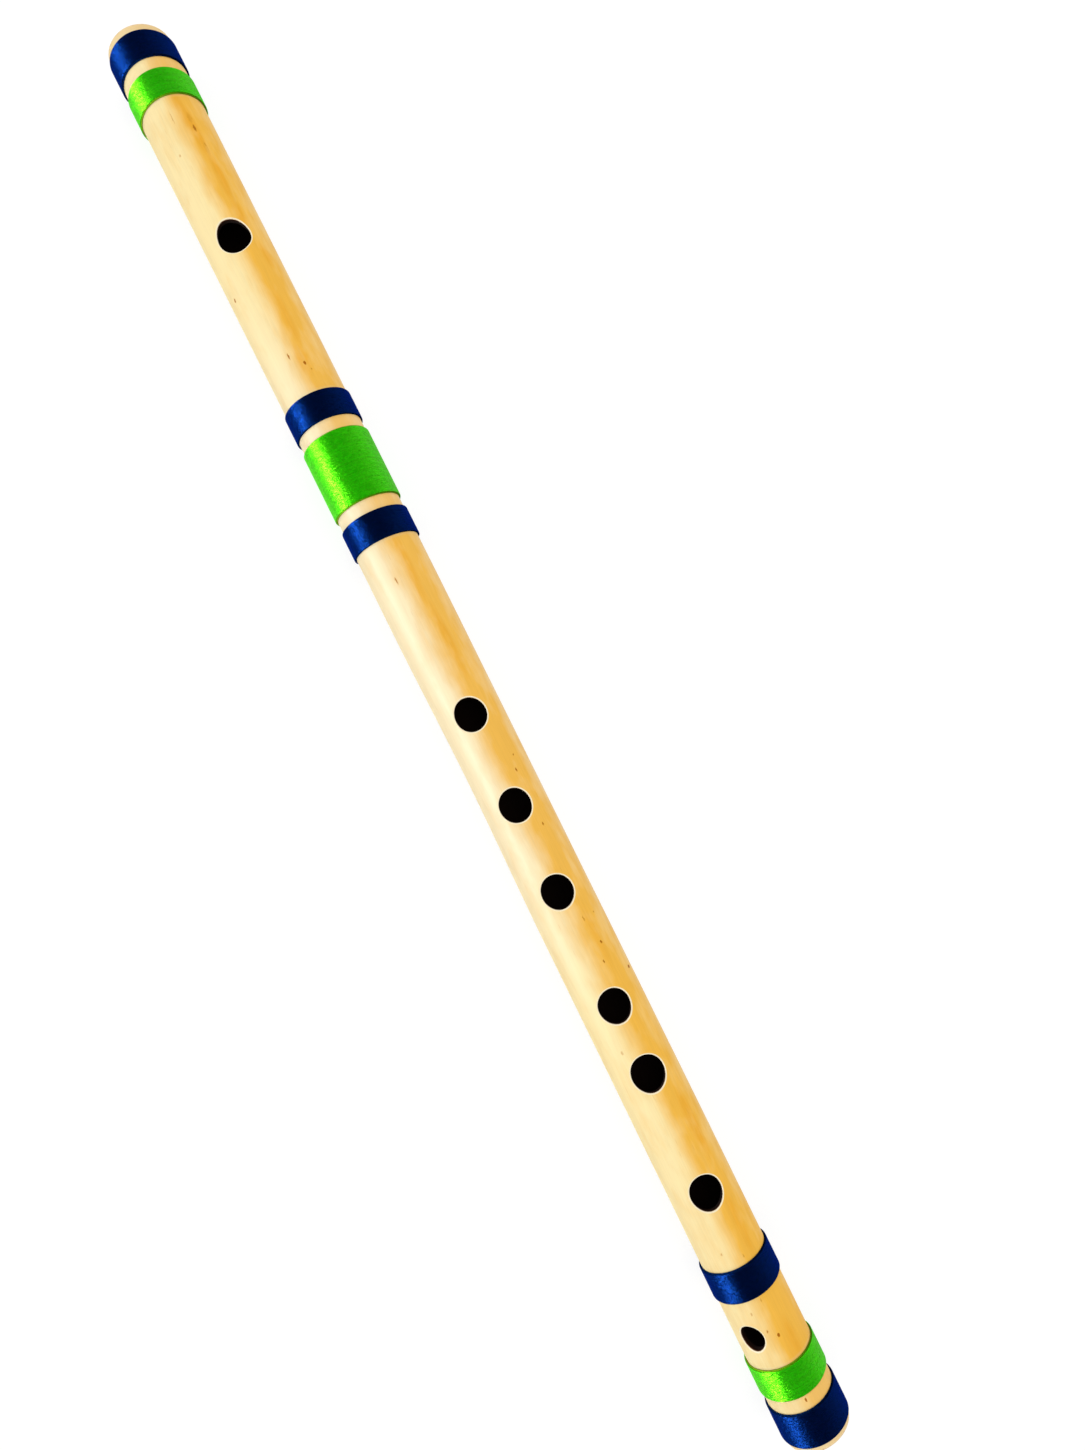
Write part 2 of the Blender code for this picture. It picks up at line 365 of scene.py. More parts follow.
def inner_rounding(size, steps):
    """(inset, depth) of each step of the rounding where a cut meets the bore, going inwards."""
    swings = quarter_round(steps)
    return [(size * (1 - math.cos(swing)), WALL - size * (1 - math.sin(swing))) for swing in swings]


class UnrolledCulm:
    """The drilled culm laid out flat: each point is (x, turn, radius), to be rolled up later."""

    def __init__(self):
        self.points = []
        self.faces = []
        self.marks = {"depth": [], "sanded": [], "end_grain": []}

    def loop(self, points, depth, sanded=0.0, end_grain=0.0):
        """Add a closed row of points, all at one depth under the skin, and return their indexes."""
        first = len(self.points)
        self.points += points
        for name, value in (("depth", depth), ("sanded", sanded), ("end_grain", end_grain)):
            self.marks[name] += [value] * len(points)
        return list(range(first, first + len(points)))

    def ring(self, x, depth, **marks):
        """Add a loop straight round the culm."""
        turns = [math.tau * column / COLUMNS for column in range(COLUMNS)]
        return self.loop([(x, turn, CULM_RADIUS - depth) for turn in turns], depth, **marks)

    def join(self, loop, next_loop, skipped=()):
        """Fill between two loops, but not at the skipped steps, and return the second."""
        for step in range(len(loop)):
            if step not in skipped:
                after = (step + 1) % len(loop)
                self.faces.append((loop[step], loop[after], next_loop[after], next_loop[step]))
        return next_loop


def lay_out_rows(holes):
    """X of each row of points on the skin, and each hole's first and last row."""
    rows = [culm_low.x + OUTER_RIM_ROUNDING]
    patches = {}
    for name in sorted(holes, key=holes.get):
        half = HOLES[name][4]
        rows += even_steps(rows[-1], holes[name] - half, ROW_STEP)
        first = len(rows) - 1
        rows += even_steps(rows[-1], holes[name] + half, 2 * half / PATCH_ROWS)
        patches[name] = (first, len(rows) - 1)
    rows += even_steps(rows[-1], culm_high.x - OUTER_RIM_ROUNDING, ROW_STEP)
    return rows, patches


def patch_columns(name):
    """The columns of the patch round a hole, from its lower turn to its higher one."""
    turn, half = HOLES[name][2], HOLES[name][5]
    middle = round(turn / 360 * COLUMNS)
    return [(middle + step) % COLUMNS for step in range(-half, half + 1)]


def patch_border(rings, rows, columns):
    """Indexes of the points round a patch, in order, from its first row and lower turn."""
    first, last = rows
    border = [rings[first][column] for column in columns[:-1]]
    border += [rings[row][columns[-1]] for row in range(first, last)]
    border += [rings[last][column] for column in reversed(columns[1:])]
    border += [rings[row][columns[0]] for row in range(last, first, -1)]
    return border


def edge_points(name, x, angles, grow, depth):
    """Points of a hole's edge, moved outwards by grow, at a depth straight down in the wall."""
    radius = CULM_RADIUS - depth
    middle = math.radians(HOLES[name][2])
    points = []
    for angle in angles:
        along, across = hole_edge(name, angle, grow)
        points.append((x + along, middle + math.asin(across / radius), radius))
    return points


def fill_patch(culm, name, x, border, angles, depth, grow):
    """Loops from a patch's border in to a hole's edge, closer together near the edge."""
    middle = math.radians(HOLES[name][2])
    outer = [culm.points[index] for index in border]
    edge = edge_points(name, x, angles, grow, depth)
    loop = border
    for step in range(1, SKIN_STEPS + 1):
        share = 1 - (1 - step / SKIN_STEPS) ** EDGE_CROWDING
        points = []
        for (far_x, far_turn, _), (near_x, near_turn, radius) in zip(outer, edge):
            far_turn = middle + math.remainder(far_turn - middle, math.tau)
            turn = far_turn + (near_turn - far_turn) * share
            points.append((far_x + (near_x - far_x) * share, turn, radius))
        loop = culm.join(loop, culm.loop(points, depth))
    return loop


def drill_hole(culm, name, x, skin_rings, bore_rings, rows):
    """Fill the patches left in the skin and in the bore, and join them by the hole's wall."""
    columns = patch_columns(name)
    skin_border = patch_border(skin_rings, rows, columns)
    bore_border = patch_border(bore_rings, rows, columns)
    middle = math.radians(HOLES[name][2])
    angles = []
    for index in skin_border:
        px, turn, _ = culm.points[index]
        across = math.remainder(turn - middle, math.tau) * CULM_RADIUS
        angles.append(math.atan2(across, px - x))
    loop = fill_patch(culm, name, x, skin_border, angles, 0.0, SANDED_EDGE)
    for grow, depth in outer_rounding(SANDED_EDGE, SANDED_DEPTH, EDGE_STEPS)[1:]:
        points = edge_points(name, x, angles, grow, depth)
        loop = culm.join(loop, culm.loop(points, depth, sanded=1.0))
    wall = even_steps(SANDED_DEPTH, WALL - INNER_EDGE, WALL / WALL_STEPS)
    down = [(0.0, depth) for depth in wall] + inner_rounding(INNER_EDGE, EDGE_STEPS)[1:-1]
    for grow, depth in down:
        points = edge_points(name, x, angles, grow, depth)
        loop = culm.join(loop, culm.loop(points, depth))
    culm.join(loop, fill_patch(culm, name, x, bore_border, angles, WALL, INNER_EDGE))


def close_end(culm, x, outwards, skin_ring, bore_ring):
    """Round a sawn end over, from the skin's last ring to the bore's."""
    rounding = outer_rounding(OUTER_RIM_ROUNDING, OUTER_RIM_ROUNDING, RIM_STEPS)[1:]
    rounding += inner_rounding(INNER_RIM_ROUNDING, RIM_STEPS)[:-1]
    loop = skin_ring
    for inset, depth in rounding:
        loop = culm.join(loop, culm.ring(x - outwards * inset, depth, end_grain=1.0))
    culm.join(loop, bore_ring)


def build_unrolled_culm():
    """The culm's mesh before it is rolled up, with what each point is as named attributes."""
    culm = UnrolledCulm()
    holes = hole_places()
    rows, patches = lay_out_rows(holes)
    skin_rings = [culm.ring(x, 0.0) for x in rows]
    bore_rows = list(rows)
    bore_rows[0] = culm_low.x + INNER_RIM_ROUNDING
    bore_rows[-1] = culm_high.x - INNER_RIM_ROUNDING
    bore_rings = [culm.ring(x, WALL) for x in bore_rows]
    left_out = {row: set() for row in range(len(rows))}
    for name, (first, last) in patches.items():
        for row in range(first, last):
            left_out[row].update(patch_columns(name)[:-1])
    for row in range(len(rows) - 1):
        culm.join(skin_rings[row], skin_rings[row + 1], left_out[row])
        culm.join(bore_rings[row], bore_rings[row + 1], left_out[row])
    for name, place in holes.items():
        drill_hole(culm, name, place, skin_rings, bore_rings, patches[name])
    close_end(culm, culm_low.x, -1, skin_rings[0], bore_rings[0])
    close_end(culm, culm_high.x, 1, skin_rings[-1], bore_rings[-1])
    mesh = bpy.data.meshes.new("unrolled culm")
    mesh.from_pydata(culm.points, [], culm.faces)
    for name, values in culm.marks.items():
        mesh.attributes.new(name, "FLOAT", "POINT").data.foreach_set("value", values)
    return mesh


def make_culm_form():
    """How far a place on the culm stands off a straight round tube: its lean and its swell."""
    inputs = {
        "Along": 0.0,
        "Turn": 0.0,
        "Half Length": (culm_high.x - culm_low.x) / 2,
        "Bow": CULM_BOW,
        "Unevenness": CULM_UNEVENNESS,
        "Hollow Depth": HOLLOW_DEPTH,
        "Hollow Place": HOLLOW_PLACE,
        "Hollow Reach": HOLLOW_REACH,
        "Seed": 4.0,
    }
    outputs = {"Lean": "Float", "Swell": "Float"}
    tree, value, result = new_tree("culm form", "GeometryNodeTree", inputs, outputs)
    share = calc(tree, "DIVIDE", value["Along"], value["Half Length"])
    fall = minus(tree, 0.5, calc(tree, "POWER", calc(tree, "ABSOLUTE", share), 2.0))
    lean = times(tree, fall, value["Bow"])

    round_x = calc(tree, "COSINE", value["Turn"])
    round_y = calc(tree, "SINE", value["Turn"])
    place = join_xyz(tree, times(tree, value["Along"], SWELLS_A_METRE), round_x, round_y)
    wave = minus(tree, noise(tree, place, value["Seed"], 1.1, 1.0)[0], 0.5)
    unevenness = times(tree, times(tree, wave, 2.0), value["Unevenness"])

    off = minus(tree, value["Along"], value["Hollow Place"])
    off = calc(tree, "ABSOLUTE", calc(tree, "DIVIDE", off, value["Hollow Reach"]))
    hollow = times(tree, rise(tree, off, 1.0, 0.0), rise(tree, round_y, 0.2, 1.0))
    hollow = times(tree, hollow, value["Hollow Depth"])
    feed(tree, result, {"Lean": lean, "Swell": minus(tree, unevenness, hollow)})
    return tree


def place_round_culm(tree, geometry, along, turn, radius):
    """Set points to their places round the leaning, uneven culm."""
    form = add(tree, "GeometryNodeGroup", {"Along": along, "Turn": turn}, node_tree=culm_form)
    reach = calc(tree, "ADD", radius, form.outputs["Swell"])
    sideways = times(tree, reach, calc(tree, "SINE", turn))
    sideways = minus(tree, form.outputs["Lean"], sideways)
    upwards = times(tree, reach, calc(tree, "COSINE", turn))
    upwards = calc(tree, "ADD", upwards, CULM_AXIS)
    inputs = {"Geometry": geometry, "Position": join_xyz(tree, along, sideways, upwards)}
    return out(tree, "GeometryNodeSetPosition", inputs)


def make_roll():
    """Rolls the laid-out culm up into its round form."""
    inputs = {**GEOMETRY, "Material": "Material"}
    tree, value, result = new_tree("roll up culm", "GeometryNodeTree", inputs, GEOMETRY)
    flat = split_xyz(tree, out(tree, "GeometryNodeInputPosition"))
    rolled = place_round_culm(tree, value["Geometry"], flat[0], flat[1], flat[2])
    return finish_tree(tree, value, result, rolled)


def apply_tree(piece, tree, values):
    """Run a shaping tree on a piece with these inputs and keep the result as its mesh."""
    modifier = piece.modifiers.new(tree.name, "NODES")
    modifier.node_group = tree
    for item in tree.interface.items_tree:
        if item.in_out == "INPUT" and item.name in values:
            modifier[item.identifier] = values[item.name]
    bpy.context.view_layer.update()
    settled = piece.evaluated_get(bpy.context.evaluated_depsgraph_get())
    shape = bpy.data.meshes.new_from_object(settled)
    piece.modifiers.clear()
    piece.data = shape
    shape.name = piece.name


def face_outwards(piece):
    """Drop points without faces and turn all faces outwards."""
    mesh = bmesh.new()
    mesh.from_mesh(piece.data)
    loose = [vertex for vertex in mesh.verts if not vertex.link_faces]
    bmesh.ops.delete(mesh, geom=loose, context="VERTS")
    bmesh.ops.recalc_face_normals(mesh, faces=mesh.faces)
    mesh.to_mesh(piece.data)
    mesh.free()


def new_piece(name, data):
    """A new object of the scene at the origin."""
    piece = bpy.data.objects.new(name, data)
    bpy.context.scene.collection.objects.link(piece)
    return piece


def new_material(name):
    """A material with its tree, its Principled surface and the place on its piece."""
    material = bpy.data.materials.new(name)
    material.use_nodes = True
    tree = material.node_tree
    vector = add(tree, "ShaderNodeTexCoord").outputs["Object"]
    return material, tree, tree.nodes["Principled BSDF"], vector


def mix_colours(tree, factor, first, second, blend="MIX"):
    """One colour laid over another by a factor."""
    inputs = {0: factor, 6: first, 7: second}
    return add(tree, "ShaderNodeMix", inputs, data_type="RGBA", blend_type=blend).outputs[2]


def stretched(tree, value):
    """The given place, squeezed along X so that whatever is laid out by it is longer there."""
    squeeze = join_xyz(tree, calc(tree, "DIVIDE", 1.0, value["Stretch"]), 1.0, 1.0)
    return vector_calc(tree, "MULTIPLY", value["Vector"], squeeze)


def make_streaks():
    """Long uneven streaks along X, such as fibres or colour bands, as a value round 0.5."""
    inputs = {"Vector": "Vector", "Fineness": 1000.0, "Stretch": 40.0, "Seed": 0.0}
    tree, value, result = new_tree("streaks", "ShaderNodeTree", inputs, {"Value": "Float"})
    place = stretched(tree, value)
    pattern = noise(tree, place, value["Seed"], value["Fineness"], 2.0)[0]
    feed(tree, result, {"Value": pattern})
    return tree


def make_specks():
    """Sparse small spots, such as pores or flecks, as a mask; Stretch lengthens them along X."""
    inputs = {"Vector": "Vector", "Fineness": 300.0, "Stretch": 2.0, "Amount": 0.1, "Size": 0.25}
    tree, value, result = new_tree("specks", "ShaderNodeTree", inputs, {"Mask": "Float"})
    cell_inputs = {"Vector": stretched(tree, value), "Scale": value["Fineness"]}
    cells = add(tree, "ShaderNodeTexVoronoi", cell_inputs).outputs
    pick = out(tree, "ShaderNodeSeparateColor", (cells["Color"],))
    chosen = calc(tree, "LESS_THAN", pick, value["Amount"])
    off = calc(tree, "DIVIDE", cells["Distance"], value["Size"])
    spot = rise(tree, minus(tree, 1.0, off), 0.0, 0.6)
    feed(tree, result, {"Mask": times(tree, spot, chosen)})
    return tree


def make_skin_mark():
    """One mark at a known place, added to a mask of others."""
    inputs = {
        "Mask": 0.0,
        "Vector": "Vector",
        "Place": "Vector",
        "Length": 0.001,
        "Width": 0.001,
        "Darkness": 0.5,
    }
    tree, value, result = new_tree("skin mark", "ShaderNodeTree", inputs, {"Mask": "Float"})
    off = vector_calc(tree, "SUBTRACT", value["Vector"], value["Place"])
    size = join_xyz(tree, value["Length"], value["Width"], value["Width"])
    share = length_of(tree, vector_calc(tree, "DIVIDE", off, size))
    mark = times(tree, rise(tree, share, 0.5, 0.15), value["Darkness"])
    feed(tree, result, {"Mask": calc(tree, "MAXIMUM", mark, value["Mask"])})
    return tree


def use(tree, group, inputs):
    """Put a shader group into a tree with its own values, and return what it puts out."""
    return out(tree, "ShaderNodeGroup", inputs, node_tree=group)


def lay_streaks(tree, vector, fineness, stretch, seed=0.0):
    """Streaks for a material."""
    return use(tree, streaks, (vector, fineness, stretch, seed))


def lay_specks(tree, vector, fineness, stretch, amount, size):
    """Specks for a material."""
    return use(tree, specks, (vector, fineness, stretch, amount, size))


def point_round_culm(x, turn, radius):
    """A place at a turn and a radius round the leaning culm, in the frame."""
    share = 2 * x / (culm_high.x - culm_low.x)
    lean = CULM_BOW * (0.5 - share * share)
    return x, lean - radius * math.sin(turn), CULM_AXIS + radius * math.cos(turn)


def lay_marks(tree, vector, table, growth=1.0):
    """A mask of all marks of a table, somewhat grown."""
    mask = 0.0
    for from_head, turn, length, width, darkness in table:
        place = point_round_culm(culm_low.x + from_head, math.radians(turn), CULM_RADIUS)
        inputs = (mask, vector, place, length * growth, width * growth, darkness)
        mask = use(tree, skin_mark, inputs)
    return mask


def kept_value(tree, name):
    """A value that was kept on a piece's points under a name."""
    return add(tree, "ShaderNodeAttribute", attribute_name=name).outputs["Fac"]


def bump(tree, strength, distance, height, normal=None):
    """The normal of a surface with this relief."""
    inputs = {"Strength": strength, "Distance": distance, "Height": height, "Normal": normal}
    return out(tree, "ShaderNodeBump", inputs)


def find_gold(tree, along, side, patterns):
    """Skin gold: its own tone and painted shade away from the blowing side, most near the foot."""
    # Painted shade, in part: the side away from the softboxes is coloured gold.
    golden = rise(tree, side, *GOLD_AND_SHADE_ACROSS)
    # Painted reflection: the far edge is paled as if it mirrored the white floor.
    golden = minus(tree, golden, rise(tree, side, *FAR_SIDE_PAINTED_REFLECTION))
    for name, weight in GOLD_WEIGHTS.items():
        drift = rise(tree, patterns[name], 0.3, 0.7, -0.5, 0.5)
        golden = calc(tree, "MULTIPLY_ADD", drift, weight, golden)
    near_foot = rise(tree, along, *GOLDEN_FOOT)
    near_foot = times(tree, near_foot, rise(tree, side, *GOLDEN_FOOT_ACROSS))
    golden = calc(tree, "MULTIPLY_ADD", near_foot, FOOT_GOLD, golden)
    return out(tree, "ShaderNodeClamp", (golden,))


def colour_skin(tree, vector, patterns):
    """Unmarked skin: pale to golden, painted shade and sheen, smudges, strands, rubbed parts."""
    place = split_xyz(tree, vector)
    along, side = place[0], calc(tree, "DIVIDE", place[1], CULM_RADIUS)
    golden = find_gold(tree, along, side, patterns)
    # Painted sheen, in part: the skin is made palest round the middle, where the softboxes' gloss
    # falls.
    from_middle = calc(tree, "ABSOLUTE", minus(tree, along, PALE_SHEEN_MIDDLE))
    middle = rise(tree, from_middle, *PALE_SHEEN_REACH)
    pale = mix_colours(tree, times(tree, middle, 0.65), PALE_SKIN, PALEST_SKIN_AND_SHEEN)
    skin = mix_colours(tree, golden, pale, GOLDEN_SKIN_AND_SHADE)
    skin = mix_colours(tree, times(tree, middle, 0.04), skin, PALEST_SKIN_AND_SHEEN)
    patchy = rise(tree, patterns["puffs"], 0.2, 0.7, 0.4, 1.2)
    toasted = times(tree, lay_marks(tree, vector, SMUDGES), patchy)
    skin = mix_colours(tree, toasted, skin, TOASTED_SKIN)
    fibre_shade = rise(tree, patterns["fibres"], 0.3, 0.7, 0.97, 1.015)
    cloud_shade = rise(tree, patterns["clouds"], 0.25, 0.75, 1.0, 0.965)
    for shade in (fibre_shade, cloud_shade):
        skin = mix_colours(tree, 1.0, skin, shade, blend="MULTIPLY")

    strands = lay_specks(tree, vector, *STRANDS)
    in_bands = rise(tree, patterns["bands"], 0.50, 0.68, 0.0, 0.13)
    skin = mix_colours(tree, times(tree, strands, in_bands), skin, MARK_BROWN)
    cut = minus(tree, culm_high.x, calc(tree, "ABSOLUTE", along))
    cut = calc(tree, "MULTIPLY_ADD", patterns["fibres"], 0.0015, cut)
    cut = rise(tree, cut, END_CUT + END_CUT_FADE, END_CUT, 0.0, 0.8)
    skin = mix_colours(tree, cut, skin, END_WOOD)
    for first, last in BOUND_STRETCHES:
        start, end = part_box(first)[0].x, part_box(last)[1].x
        off = calc(tree, "ABSOLUTE", minus(tree, along, (start + end) / 2))
        half = (end - start) / 2
        rubbed = rise(tree, off, half + RUBBED_FADE, half, 0.0, 0.14)
        skin = mix_colours(tree, rubbed, skin, SANDED_WOOD)
    return skin


def gather_marks(tree, vector):
    """A mask of the known marks and a few flecks between them, all with uneven outlines."""
    wobble = add(tree, "ShaderNodeTexNoise", {"Vector": vector, "Scale": 1500.0}).outputs["Color"]
    wobble = scaled(tree, vector_calc(tree, "SUBTRACT", wobble, (0.5, 0.5, 0.5)), MARK_WOBBLE)
    moved = vector_calc(tree, "ADD", vector, wobble)
    marks = lay_marks(tree, moved, SKIN_MARKS, MARK_GROWTH)
    flecks = lay_specks(tree, moved, *FLECKS)
    return calc(tree, "MAXIMUM", marks, times(tree, flecks, 0.5))


def colour_bare_wood(tree, depth, end_grain, bundles):
    """Sanded edges, and the sawn ends with their dark fibre bundles and their dense rind."""
    wood = mix_colours(tree, end_grain, SANDED_WOOD, END_WOOD)
    wood = mix_colours(tree, times(tree, bundles, 0.55), wood, MARK_BROWN)
    dense = times(tree, rise(tree, depth, *RIND_STARTS), rise(tree, depth, *RIND_ENDS))
    dense = times(tree, times(tree, dense, end_grain), 0.6)
    return mix_colours(tree, dense, wood, END_RIND)


def make_bamboo():
    """Varnished bamboo, sanded edges, end grain, and a scorched bore and hole walls in painted
    shade.
    """
    material, tree, surface, vector = new_material("bamboo")
    patterns = {name: lay_streaks(tree, vector, *how) for name, how in SKIN_PATTERNS.items()}
    fibres = patterns["fibres"]
    marks = gather_marks(tree, vector)
    skin = colour_skin(tree, vector, patterns)
    skin = mix_colours(tree, rise(tree, marks, 0.0, 0.5, 0.0, 0.35), skin, TOASTED_SKIN)
    skin = mix_colours(tree, rise(tree, marks, 0.05, 0.75), skin, MARK_BROWN)

    depth = kept_value(tree, "depth")
    end_grain = kept_value(tree, "end_grain")
    bare = calc(tree, "MAXIMUM", kept_value(tree, "sanded"), end_grain)
    bundles = times(tree, lay_specks(tree, vector, *FIBRE_BUNDLES), end_grain)
    wood = colour_bare_wood(tree, depth, end_grain, bundles)
    colour = mix_colours(tree, rise(tree, bare, 0.0, 1.0), skin, wood)

    within = minus(tree, depth, times(tree, end_grain, WALL))
    ragged = calc(tree, "MULTIPLY_ADD", fibres, 0.0002, within)
    colour = mix_colours(tree, rise(tree, ragged, *BROWNS), colour, SCORCHED_EDGE)
    # Painted shade, in part: deep in the hole walls and through the bore the wood is made near
    # black.
    colour = mix_colours(tree, rise(tree, ragged, *BLACKENS_WITH_SHADE), colour, SCORCHED_WOOD_AND_SHADE)

    scorched = rise(tree, ragged, *TURNS_MATT)
    rough = calc(tree, "MULTIPLY_ADD", fibres, 0.12, 0.34)
    rough = calc(tree, "MULTIPLY_ADD", patterns["puffs"], 0.16, rough)
    for mask, roughness in ((scorched, 0.8), (end_grain, 0.6)):
        rough = calc(tree, "MAXIMUM", rough, times(tree, mask, roughness))
    height = minus(tree, minus(tree, fibres, times(tree, marks, 0.3)), bundles)
    finish = {
        "Base Color": colour,
        "Roughness": rough,
        "Specular IOR Level": SKIN_GLOSS,
        "Coat Weight": minus(tree, VARNISH, times(tree, scorched, VARNISH)),
        "Coat Roughness": VARNISH_ROUGHNESS,
        "Normal": bump(tree, 0.2, SKIN_RELIEF, height),
    }
    feed(tree, surface, finish)
    return material


streaks = make_streaks()
specks = make_specks()
skin_mark = make_skin_mark()
culm_form = make_culm_form()

culm = new_piece("bamboo_culm", build_unrolled_culm())
apply_tree(culm, make_roll(), {"Material": make_bamboo()})
face_outwards(culm)
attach(culm, "flute")
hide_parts("bamboo_tube")

# The stopper is a plug of natural cork, cut a little wider than the bore and pressed in from the
# head end. Its edges are softened so that it can be slid to tune the flute.

stopper_low, stopper_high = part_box("cork_stopper")
STOPPER_SQUEEZE = 0.00012
STOPPER_RADIUS = (stopper_high.z - stopper_low.z) / 2 + STOPPER_SQUEEZE
STOPPER_EDGE = 0.0007
STOPPER_COLUMNS = 96
STOPPER_ROW_STEP = 0.0006
STOPPER_FACE_STEP = 0.0009
STOPPER_EDGE_STEPS = 4
PORE_DEPTH = 0.00025
CUT_UNEVENNESS = 0.00005
CORK_GRAIN = (700.0, 1.6)
CORK_PORES = (900.0, 2.0, 0.4, 0.4)
CORK_RELIEF = 0.0002
CORK_TAN = (0.42, 0.24, 0.115, 1.0)
CORK_LIGHT = (0.60, 0.38, 0.20, 1.0)
CORK_PORE = (0.09, 0.04, 0.018, 1.0)


def build_stopper():
    """The stopper's turned form, from the middle of one face to the middle of the other."""
    face = even_steps(0.0, STOPPER_RADIUS - STOPPER_EDGE, STOPPER_FACE_STEP)
    profile = [(stopper_low.x, radius) for radius in face]
    for swing in quarter_round(STOPPER_EDGE_STEPS)[1:]:
        x = stopper_low.x + STOPPER_EDGE * (1 - math.cos(swing))
        profile.append((x, STOPPER_RADIUS - STOPPER_EDGE * (1 - math.sin(swing))))
    start, end = stopper_low.x + STOPPER_EDGE, stopper_high.x - STOPPER_EDGE
    profile += [(x, STOPPER_RADIUS) for x in even_steps(start, end, STOPPER_ROW_STEP)]
    middle = (stopper_low.x + stopper_high.x) / 2
    first_half = [point for point in profile if point[0] < middle]
    profile = first_half + [(2 * middle - x, radius) for x, radius in reversed(first_half)]
    turns = [math.tau * column / STOPPER_COLUMNS for column in range(STOPPER_COLUMNS)]
    mesh = bmesh.new()
    rings = []
    for x, radius in profile:
        rings.append([mesh.verts.new(point_round_culm(x, turn, radius)) for turn in turns])
    for ring, next_ring in zip(rings, rings[1:]):
        for column in range(STOPPER_COLUMNS):
            after = (column + 1) % STOPPER_COLUMNS
            mesh.faces.new((ring[column], ring[after], next_ring[after], next_ring[column]))
    for ring in (rings[0], rings[-1]):
        rim = [edge for edge in mesh.edges if set(edge.verts) <= set(ring)]
        bmesh.ops.contextual_create(mesh, geom=rim)
    bmesh.ops.recalc_face_normals(mesh, faces=mesh.faces)
    shape = bpy.data.meshes.new("cork_plug")
    mesh.to_mesh(shape)
    mesh.free()
    return shape


def make_pits():
    """Presses the cork's pores and its uneven cut into its surface."""
    inputs = {
        **GEOMETRY,
        "Pore Depth": PORE_DEPTH,
        "Unevenness": CUT_UNEVENNESS,
        "Seed": 7.0,
        "Material": "Material",
    }
    tree, value, result = new_tree("cork pits", "GeometryNodeTree", inputs, GEOMETRY)
    grain = noise(tree, None, value["Seed"], 900.0, 3.0)[0]
    push = times(tree, rise(tree, grain, 0.60, 0.72), value["Pore Depth"])
    rest = times(tree, grain, value["Unevenness"])
    push = times(tree, calc(tree, "ADD", push, rest), -1.0)
    offset = scaled(tree, out(tree, "GeometryNodeInputNormal"), push)
    inputs = {"Geometry": value["Geometry"], "Offset": offset}
    pitted = out(tree, "GeometryNodeSetPosition", inputs)
    return finish_tree(tree, value, result, pitted)


def make_cork():
    """Matt cork with light and dark grain, and dark pores."""
    material, tree, surface, vector = new_material("cork")
    grain = lay_streaks(tree, vector, *CORK_GRAIN)
    colour = mix_colours(tree, rise(tree, grain, 0.35, 0.65), CORK_TAN, CORK_LIGHT)
    pores = lay_specks(tree, vector, *CORK_PORES)
    colour = mix_colours(tree, pores, colour, CORK_PORE)
    rough = calc(tree, "MULTIPLY_ADD", grain, 0.2, 0.72)
    normal = bump(tree, 0.6, CORK_RELIEF, minus(tree, grain, pores))
    feed(tree, surface, {"Base Color": colour, "Roughness": rough, "Normal": normal})
    return material


stopper = new_piece("cork_plug", build_stopper())
apply_tree(stopper, make_pits(), {"Material": make_cork()})
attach(stopper, "stopper")
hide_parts("cork_stopper")

# Each binding is one long silky thread wound tightly round the culm in two layers, with its tail
# tucked under the turns on the back. The bindings keep the bamboo from splitting.

TURN_PITCH = 0.00036
THREAD_WIDTH = 0.00041
LOWER_THREAD_HEIGHT = 0.00044
UPPER_THREAD_HEIGHT = 0.00025

# How far each layer's middle is over the skin, how many pitches the upper one is set in, and how
# far turns stray; the tail's lift, its turn, its drift from turn to turn and its reach
LOWER_LAYER = 0.00022
UPPER_LAYER = 0.00058
UPPER_INSET = 0.8
LOOSENESS = 0.000014
TAIL_LIFT = 0.00008
TAIL_TURN = math.radians(143)
TAIL_DRIFT = 0.004
TAIL_REACH = 0.06

PLY_LENGTH = 0.0008
# Each thread's colours; its edge colour is painted shade for the grooves, the low thread and the
# band ends.
BLUE = {
    "deep": (0.0002, 0.0002, 0.020, 1.0),
    "bright": (0.0003, 0.0007, 0.040, 1.0),
    "streak": (0.0006, 0.0020, 0.075, 1.0),
    "gloss": (0.02, 0.25, 1.00, 1.0),
    "edge": (0.0004, 0.0004, 0.0020, 1.0),
    "shade_edge_width": 0.00042,
    "metallic": 0.88,
    "ior": 2.5,
}
GREEN = {
    "deep": (0.001, 0.51, 0.0003, 1.0),
    "bright": (0.003, 0.69, 0.0004, 1.0),
    "streak": (0.014, 0.70, 0.0010, 1.0),
    "gloss": (0.58, 0.60, 0.04, 1.0),
    "edge": (0.110, 0.220, 0.004, 1.0),
    "shade_edge_width": 0.00026,
    "metallic": 0.50,
    "ior": 1.9,
}
THREAD_SHADOW = (0.012, 0.010, 0.004, 1.0)

# Patterns of the thread: fineness, stretch along the flute and seed, and the dark flecks
SPARKLE = (1500.0, 0.7, 5.0)
PALER_LINES = (450.0, 0.15, 9.0)
TILT = (300.0, 0.2, 3.0)
FINE_TILT = (850.0, 0.12, 6.0)
DARK_FLECKS = (260.0, 0.6, 0.08, 0.10)
TILT_RELIEF = 0.00027
PLY_RELIEF = 0.00003
# Heights over the skin below which the thread is darkened as painted shade
LOW_THREAD_SHADE = (0.00052, 0.00034)


